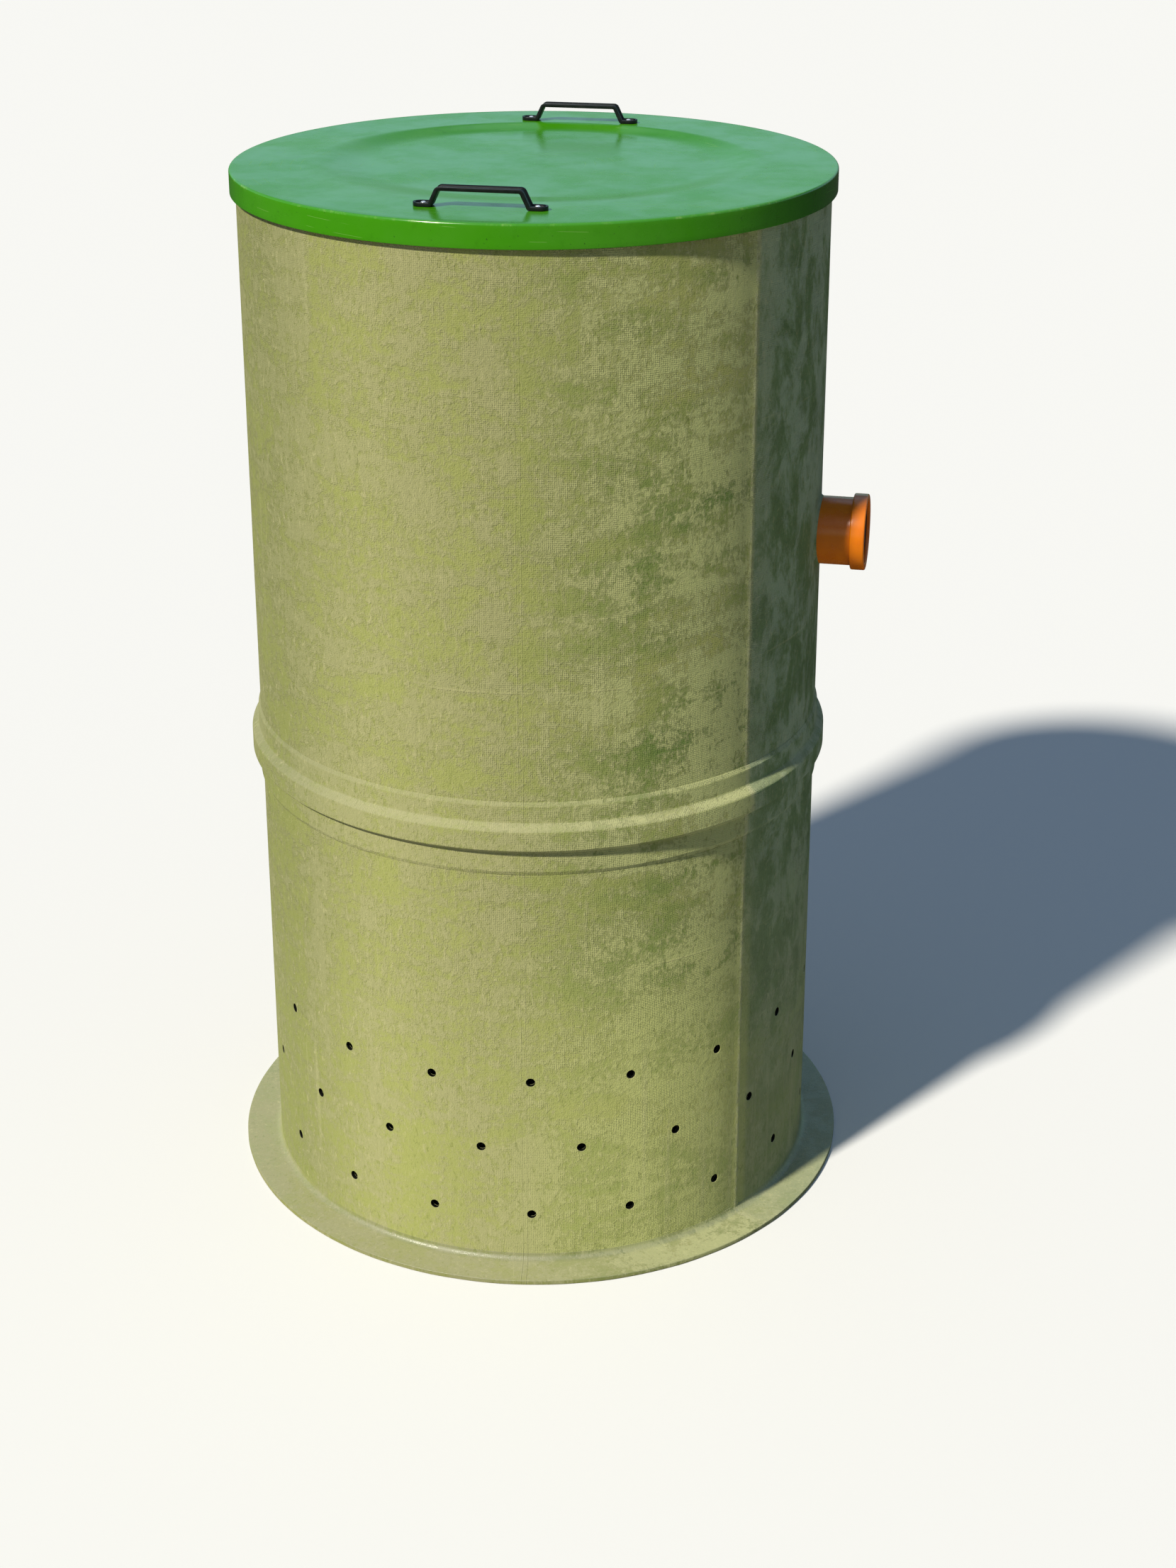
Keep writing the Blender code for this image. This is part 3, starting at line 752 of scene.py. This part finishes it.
def makeInlet(plastic, rubber, laminateMaterial):
    bore, outer = inlet["boreRadius"], inlet["boreRadius"] + inlet["wall"]
    bead, curve = inlet["beadRadius"], inlet["beadRound"]
    beadStart = inletMouth - inlet["beadLength"]
    grooveStart = inletMouth - (inlet["beadLength"] + inlet["grooveLength"]) / 2
    grooveEnd = grooveStart + inlet["grooveLength"]
    lip = 0.0008
    profile = [(bore + lip, inletStart), (outer - lip, inletStart), (outer, inletStart + lip)]
    profile += arc((outer + lip, beadStart - lip), lip, 180, 90, 3)
    profile += arc((bead - curve, beadStart + curve), curve, 270, 360, 6)
    profile += arc((bead - curve, inletMouth - curve), curve, 0, 90, 8)
    profile += arc((bore + 2 * lip, inletMouth - 2 * lip), 2 * lip, 90, 180, 4)
    profile += [(bore, grooveEnd), (inlet["grooveRadius"], grooveEnd),
                (inlet["grooveRadius"], grooveStart), (bore, grooveStart), (bore, inletStart + lip)]
    mesh = layToInlet(turned("sleeve", profile, inlet["steps"]))
    addPiece("inlet_socket", mesh, plastic, "well", ["inlet_sleeve"])

    seat = inlet["grooveRadius"] - 0.0003
    low, high = grooveStart + 0.0003, grooveEnd - 0.0003
    root, tip = bore + 0.001, inlet["sealLip"]
    middle = (low + high) / 2
    profile = [(seat, low), (seat, high), (root, high)]
    profile += arc((tip + 0.0012, middle), 0.0012, 90, 270, 6)
    profile += [(root, low)]
    mesh = layToInlet(turned("seal", profile, inlet["steps"]))
    addPiece("inlet_seal_ring", mesh, rubber, "well", ["inlet_seal"])
    makeCollar(laminateMaterial)


def makeCollar(material):
    # A hollow fillet from the socket on to the curved wall, its edge a little uneven
    bore = inlet["boreRadius"] + inlet["wall"] + 0.0002
    sweep = [radians(90 * step / 9) for step in range(10)]
    sunk = -0.004
    vertices = []
    for step in range(inlet["steps"]):
        turn = 2 * pi * step / inlet["steps"]
        reach = inlet["collarReach"] * (0.93 + 0.12 * perlin(Vector((cos(turn), sin(turn), 4)) * 2.2))
        outline = [(bore + reach * (1 - sin(t)), inlet["collarHeight"] * (1 - cos(t))) for t in sweep]
        outline += [(bore, sunk), (bore + reach, sunk)]
        for spread, rise in outline:
            y, z = spread * cos(turn), spread * sin(turn)
            vertices.append((sqrt(barrelRadius ** 2 - y ** 2) + rise, y, inletHeight + z))
    mesh = meshFrom("collar", vertices, stitch(inlet["steps"], len(sweep) + 2))
    addPiece("inlet_laminate", mesh, material, "well", ["inlet_collar"])


makeInlet(makeSocketPlastic(), makeRubber(), wallLaminate)
print("inlet done")


# Lid: one green moulding with a sunken middle

lid = {
    "panel": 0.006,
    "skirt": 0.005,
    "edgeRadius": 0.004,
    "footRadius": 0.0015,
    "dishInset": 0.128,
    "dishDepth": 0.0095,
    "dishSlopes": (0.050, 0.140),   # how wide the slope is at the back and at the front
    "dishBias": (0.65, 1.3),        # under 1 the slope is steeper near its outer edge
    "innerRings": (0.0, 0.10, 0.18, 0.23),
    "slopeRings": (0.26, 0.40, 32),   # from, to, and how many steps between
    "outerRings": (0.41, 0.44, 0.47, 0.49),
    "unevenness": 0.0004,
    "unevenFrom": 0.30,             # inside this radius the panel is plain
}
gelcoat = {
    "green": seen(62, 146, 8),
    "pale": seen(76, 152, 34),
    "deep": seen(48, 118, 8),
    "baredAndHighlight": seen(168, 204, 116),
    # Bared gelcoat in the scratches, and the painted highlight along the skirt's upper edge
    "speck": seen(30, 58, 18),
    # Painted shade on the skirt's shaded side
    "paintedSkirtShade": (0.36, 0.50, 0.24, 1.0),
    "skirtShadeStarts": (48, 74),        # degrees from the front
    "skirtShadeEnds": (100, 170),
    "paleLineDown": 0.0022,           # the pale line's distance below the lid's top: worn, and partly painted highlight
    "roughness": (0.16, 0.30),
}


def makeGelcoat():
    material, tree, shader = newMaterial("lidGelcoat")
    even = stretched(tree, 1, 1, 1)
    angle, height, outwards = unrolled(tree)
    parts = addNode(tree, "SeparateXYZ", {"Vector": even}).outputs
    cloud = noiseOf(tree, even, 5.0, 6.0, 0.6, 0.4)
    colour = blend(tree, fade(tree, cloud, 0.40, 0.72, 0.0, 0.55), gelcoat["green"], gelcoat["pale"])
    mottled = fade(tree, noiseOf(tree, even, 46.0, 4.0, 0.65), 0.55, 0.78, 0.0, 0.35)
    colour = blend(tree, mottled, colour, gelcoat["deep"])

    # Hairline scratches over the top, and round the skirt
    aslant = calc(tree, "MULTIPLY_ADD", parts["X"], 0.7, parts["Y"])
    over = hairlines(tree, aslant, 0.17, 0.0008, even, 0.62, 0.03)
    winding = calc(tree, "MULTIPLY_ADD", angle, 0.02, height)
    around = hairlines(tree, winding, 0.017, 0.0005, stretched(tree, 2, 2, 6), 0.60, 0.01)
    scratch = calc(tree, "MAXIMUM", over, around)
    colour = blend(tree, calc(tree, "MULTIPLY", scratch, 0.35), colour, gelcoat["baredAndHighlight"])
    specks = fade(tree, noiseOf(tree, even, 210.0, 2.0), 0.70, 0.76, 0.0, 0.7)
    colour = blend(tree, specks, colour, gelcoat["speck"])

    # The skirt's upper edge is rubbed pale in places, partly as painted highlight, and its shaded side is
    # darkened as painted shade
    overhang = lidRadius - barrelRadius
    off = distance(tree, parts["Z"], lidTop - gelcoat["paleLineDown"])
    rubbedAndHighlight = noiseOf(tree, stretched(tree, 1, 1, 0.2), 24.0, 6.0, 0.7)
    rubbedAndHighlight = product(tree, fade(tree, rubbedAndHighlight, 0.50, 0.66, 0.0, 0.4),
                     fade(tree, off, 0.0006, 0.0026, 1.0, 0.0),
                     fade(tree, outwards, overhang - 0.009, overhang - 0.005))
    colour = blend(tree, rubbedAndHighlight, colour, gelcoat["baredAndHighlight"])
    # Painted shade: the skirt is darkened on its shaded side
    skirtShaded = product(tree, aroundFade(tree, angle, gelcoat["skirtShadeStarts"]),
                    aroundFade(tree, angle, gelcoat["skirtShadeEnds"], 1.0, 0.0),
                    fade(tree, outwards, overhang - 0.003, overhang - 0.001))
    colour = blend(tree, skirtShaded, colour, gelcoat["paintedSkirtShade"], "MULTIPLY")
    tree.links.new(colour, shader.inputs["Base Color"])

    rough = fade(tree, noiseOf(tree, even, 9.0, 7.0, 0.65), 0.3, 0.7, *gelcoat["roughness"])
    rough = calc(tree, "MULTIPLY_ADD", scratch, 0.2, rough)
    tree.links.new(rough, shader.inputs["Roughness"])
    waves = calc(tree, "MULTIPLY", noiseOf(tree, even, 13.0, 2.0), 0.18)
    relief = calc(tree, "MULTIPLY_ADD", noiseOf(tree, even, 260.0, 2.0), 0.018, waves)
    relief = calc(tree, "MULTIPLY_ADD", scratch, -0.05, relief)
    tree.links.new(bump(tree, relief, 0.001), shader.inputs["Normal"])
    shader.inputs["Specular IOR Level"].default_value = 0.5
    return material


def dishDrop(place):
    # The dish is crisp at the back and runs out softly at the front
    radius = sqrt(place.x ** 2 + place.y ** 2)
    forwards = 0.5 - 0.5 * place.y / max(radius, 0.001)
    slope, bias = [back + (front - back) * forwards for back, front in (lid["dishSlopes"], lid["dishBias"])]
    share = min(1, max(0, (lidRadius - lid["dishInset"] - radius) / slope)) ** bias
    return lid["dishDepth"] * (3 * share ** 2 - 2 * share ** 3)


def makeLid(material):
    curve, foot, panel = lid["edgeRadius"], lid["footRadius"], lid["panel"]
    first, last, steps = lid["slopeRings"]
    slope = tuple(first + (last - first) * step / steps for step in range(steps + 1))
    top = [(radius, lidTop) for radius in lid["innerRings"] + slope + lid["outerRings"]]
    edge = arc((lidRadius - curve, lidTop - curve), curve, 90, 0, 6)
    sideHeight = lidTop - curve - lidFoot - 0.002
    side = [(lidRadius, lidTop - curve - sideHeight * step / 5) for step in range(1, 5)]
    innerRadius = lidRadius - lid["skirt"]
    rim = arc((lidRadius - foot, lidFoot + foot), foot, 0, -90, 4)
    rim += arc((innerRadius + 0.001, lidFoot + 0.001), 0.001, 270, 180, 3)
    under = [(innerRadius, lidTop - panel - 0.004), (innerRadius - 0.004, lidTop - panel)]
    under += [(radius, z - panel) for radius, z in top[:0:-2] if radius < innerRadius - 0.01]
    under += [(0.0, lidTop - panel)]
    profile = top + edge + side + rim + under

    def lump(turn, radius, height):
        if radius < lid["unevenFrom"]:
            return 0.0
        place = Vector((cos(turn) * radius, sin(turn) * radius, height)) * 9
        return lid["unevenness"] * (perlin(place) - 1)

    mesh = turned("lid", profile, barrel["columns"], lump)
    for vertex in mesh.vertices:
        vertex.co.z -= dishDrop(vertex.co)
    addPiece("lid_moulding", mesh, material, "lid", ["lid_panel", "lid_skirt"])


makeLid(makeGelcoat())
print("lid done")


# Handles: black straps of channel section, their feet rounded and screwed down

handle = {
    "length": 0.213,
    "width": 0.025,
    "height": 0.032,
    "thickness": 0.0065,
    "barLength": 0.132,
    "legLean": 0.012,
    "barBend": 0.006,
    "footBend": 0.0015,
    "rim": 0.0035,
    "channel": 0.0030,
    "edge": 0.0007,
    "screwSpacing": 0.180,
    "clearance": 0.0003,
    "black": seen(10, 10, 11),
    "dusty": seen(26, 25, 24),
}
screw = {
    "washerRadius": 0.0053,
    "washerThickness": 0.0008,
    "headRadius": 0.0043,
    "headHeight": 0.0026,
    "crossReach": 0.0021,
    "crossHalf": 0.0005,
    "crossDepth": 0.0012,
    "bright": seen(240, 240, 242),
    "dull": seen(206, 206, 206),
}


def makeBlackPlastic():
    material, tree, shader = newMaterial("blackPlastic")
    even = stretched(tree, 1, 1, 1)
    cloud = noiseOf(tree, even, 70.0, 5.0, 0.6)
    dust = fade(tree, cloud, 0.5, 0.8, 0.0, 0.5)
    tree.links.new(blend(tree, dust, handle["black"], handle["dusty"]), shader.inputs["Base Color"])
    tree.links.new(fade(tree, cloud, 0.3, 0.7, 0.34, 0.50), shader.inputs["Roughness"])
    grain = noiseOf(tree, even, 900.0, 2.0)
    relief = calc(tree, "MULTIPLY_ADD", grain, 0.06, calc(tree, "MULTIPLY", cloud, 0.2))
    tree.links.new(bump(tree, relief, 0.0005), shader.inputs["Normal"])
    shader.inputs["Specular IOR Level"].default_value = 0.35
    return material


def makeScrewMetal():
    material, tree, shader = newMaterial("screwMetal")
    even = stretched(tree, 1, 1, 1)
    tarnish = fade(tree, noiseOf(tree, even, 400.0, 4.0), 0.45, 0.7)
    tree.links.new(blend(tree, tarnish, screw["bright"], screw["dull"]), shader.inputs["Base Color"])
    tree.links.new(fade(tree, tarnish, 0.0, 1.0, 0.22, 0.40), shader.inputs["Roughness"])
    shader.inputs["Metallic"].default_value = 0.6
    return material


def shifted(corners, sideways):
    # An open line moved sideways to its left, with its corners kept
    normals = []
    for a, b in zip(corners, corners[1:]):
        along = (b - a).normalized()
        normals.append(Vector((-along.y, along.x)))
    moved = [corners[0] + normals[0] * sideways]
    for before, after, corner in zip(normals, normals[1:], corners[1:]):
        middle = (before + after).normalized()
        moved.append(corner + middle * (sideways / middle.dot(after)))
    moved.append(corners[-1] + normals[-1] * sideways)
    return moved


def bent(corners, radii, steps):
    # Each inner corner of the line replaced by an arc
    path = []
    for before, corner, after, radius in zip(corners, corners[1:], corners[2:], radii):
        back, ahead = (before - corner).normalized(), (after - corner).normalized()
        half = back.angle(ahead) / 2
        middle = corner + (back + ahead).normalized() * (radius / sin(half))
        start = corner + back * (radius / tan(half)) - middle
        sweep = start.angle_signed(corner + ahead * (radius / tan(half)) - middle)
        path += [middle + Matrix.Rotation(-sweep * s / steps, 2) @ start for s in range(steps + 1)]
    return path


def strapLevel(above):
    # Points along the strap at a distance above its middle line, always the same number of them
    end, bar = handle["length"] / 2, handle["barLength"] / 2
    foot = bar + handle["legLean"]
    low = handle["thickness"] / 2
    high = handle["height"] - low
    middle = [(-end, low), (-foot, low), (-bar, high), (bar, high), (foot, low), (end, low)]
    atBar = handle["barBend"] + above
    atFoot = max(handle["footBend"] / 2, handle["footBend"] - above)
    line = bent(shifted([Vector(p) for p in middle], above), (atFoot, atBar, atBar, atFoot), 6)
    radius = handle["width"] / 2
    insets = [radius * (1 - cos(radians(a))) for a in range(0, 91, 10)]
    insets = sorted(insets + [handle["rim"], handle["rim"] + 0.0002])
    feet = [Vector((-end + inset, low + above)) for inset in insets]
    others = [Vector((-p.x, p.y)) for p in reversed(feet)]
    return insets, feet + line + others


def makeHandle(name, offset, material):
    half, rim, edge = handle["thickness"] / 2, handle["rim"], handle["edge"]
    floor = half - handle["channel"]
    radius = handle["width"] / 2
    # Half of the section, from the middle of the underside round to the middle of the channel:
    # (share of the outer half width, inset from it, whether it is a point of the channel, height)
    section = [(0.0, 0.0, False, -half), (1.0, edge, False, -half),
               (1.0, edge * 0.3, False, -half + edge * 0.3), (1.0, 0.0, False, -half + edge),
               (1.0, 0.0, False, half - edge), (1.0, edge * 0.3, False, half - edge * 0.3),
               (1.0, edge, False, half), (1.0, rim - edge, False, half),
               (1.0, rim, True, half - edge * 0.6), (1.0, rim, True, floor + edge * 0.5),
               (1.0, rim + edge * 0.5, True, floor), (0.0, 0.0, True, floor)]
    levels = [strapLevel(height) for share, inset, inChannel, height in section]
    top = strapLevel(half)
    insets = levels[0][0]
    count = len(levels[0][1])
    rows = []
    for station in range(count):
        nearest = min(station, count - 1 - station)
        inset = insets[nearest] if nearest < len(insets) else radius
        wide = sqrt(max(0.0, radius ** 2 - (radius - min(inset, radius)) ** 2))
        side = []
        for (share, back, inChannel, height), (_, line) in zip(section, levels):
            point = line[station]
            y = share * max(0.0, wide - back)
            if inChannel:
                inner = radius - rim
                reach = max(0.0, inner ** 2 - (radius - min(max(inset, 0.0), radius)) ** 2)
                y = share * max(0.0, sqrt(reach) - (back - rim))
                if inset <= rim:
                    point, y = top[1][station], 0.0
            side.append((y, point))
        ring = [(y, p) for y, p in side] + [(-y, p) for y, p in reversed(side[1:-1])]
        rows.append([(p.x, y + offset, p.y + lidTop + handle["clearance"]) for y, p in ring])
    vertices = [v for row in rows for v in row]
    mesh = meshFrom(name, vertices, stitch(count, len(rows[0]), False))
    addPiece(name + "_strap", mesh, material, "lid", [name], sharp=50)


def makeScrew(name, x, y, material):
    # A washer and a domed head with a cross recess, standing in the channel
    floor = lidTop + handle["clearance"] + handle["thickness"] - handle["channel"]
    wide, head = screw["washerRadius"], screw["headRadius"]
    washerTop = floor + screw["washerThickness"]
    domeFoot = washerTop + 0.0001
    profile = [(0.0, floor), (wide - 0.0001, floor), (wide, floor + 0.0002), (wide, washerTop - 0.0002),
               (wide - 0.0002, washerTop), (head, domeFoot)]
    slopes = [radians(a) for a in range(15, 91, 15)]
    dome = [(head * cos(a), domeFoot + screw["headHeight"] * sin(a)) for a in slopes]
    mesh = turned(name, profile + dome, 32)
    shape = bmesh.new()
    shape.from_mesh(mesh)
    for vertex in shape.verts:
        flat = Vector((vertex.co.x, vertex.co.y))
        arm = min(abs(flat.x), abs(flat.y))
        onTop = flat.length < screw["crossReach"] and vertex.co.z > floor + 0.002
        if onTop and arm < screw["crossHalf"]:
            vertex.co.z -= screw["crossDepth"]
    shape.to_mesh(mesh)
    shape.free()
    mesh.transform(Matrix.Translation((x, y, 0)))
    addPiece(name, mesh, material, "lid", sharp=40)


def makeHandles():
    black, metal = makeBlackPlastic(), makeScrewMetal()
    for name in ("handle_front", "handle_back"):
        low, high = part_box(name)
        offset = (low.y + high.y) / 2
        makeHandle(name, offset, black)
        for side in (-1, 1):
            word = "left" if side < 0 else "right"
            makeScrew(f"{name}_screw_{word}", side * handle["screwSpacing"] / 2, offset, metal)


makeHandles()
print("handles and screws done")
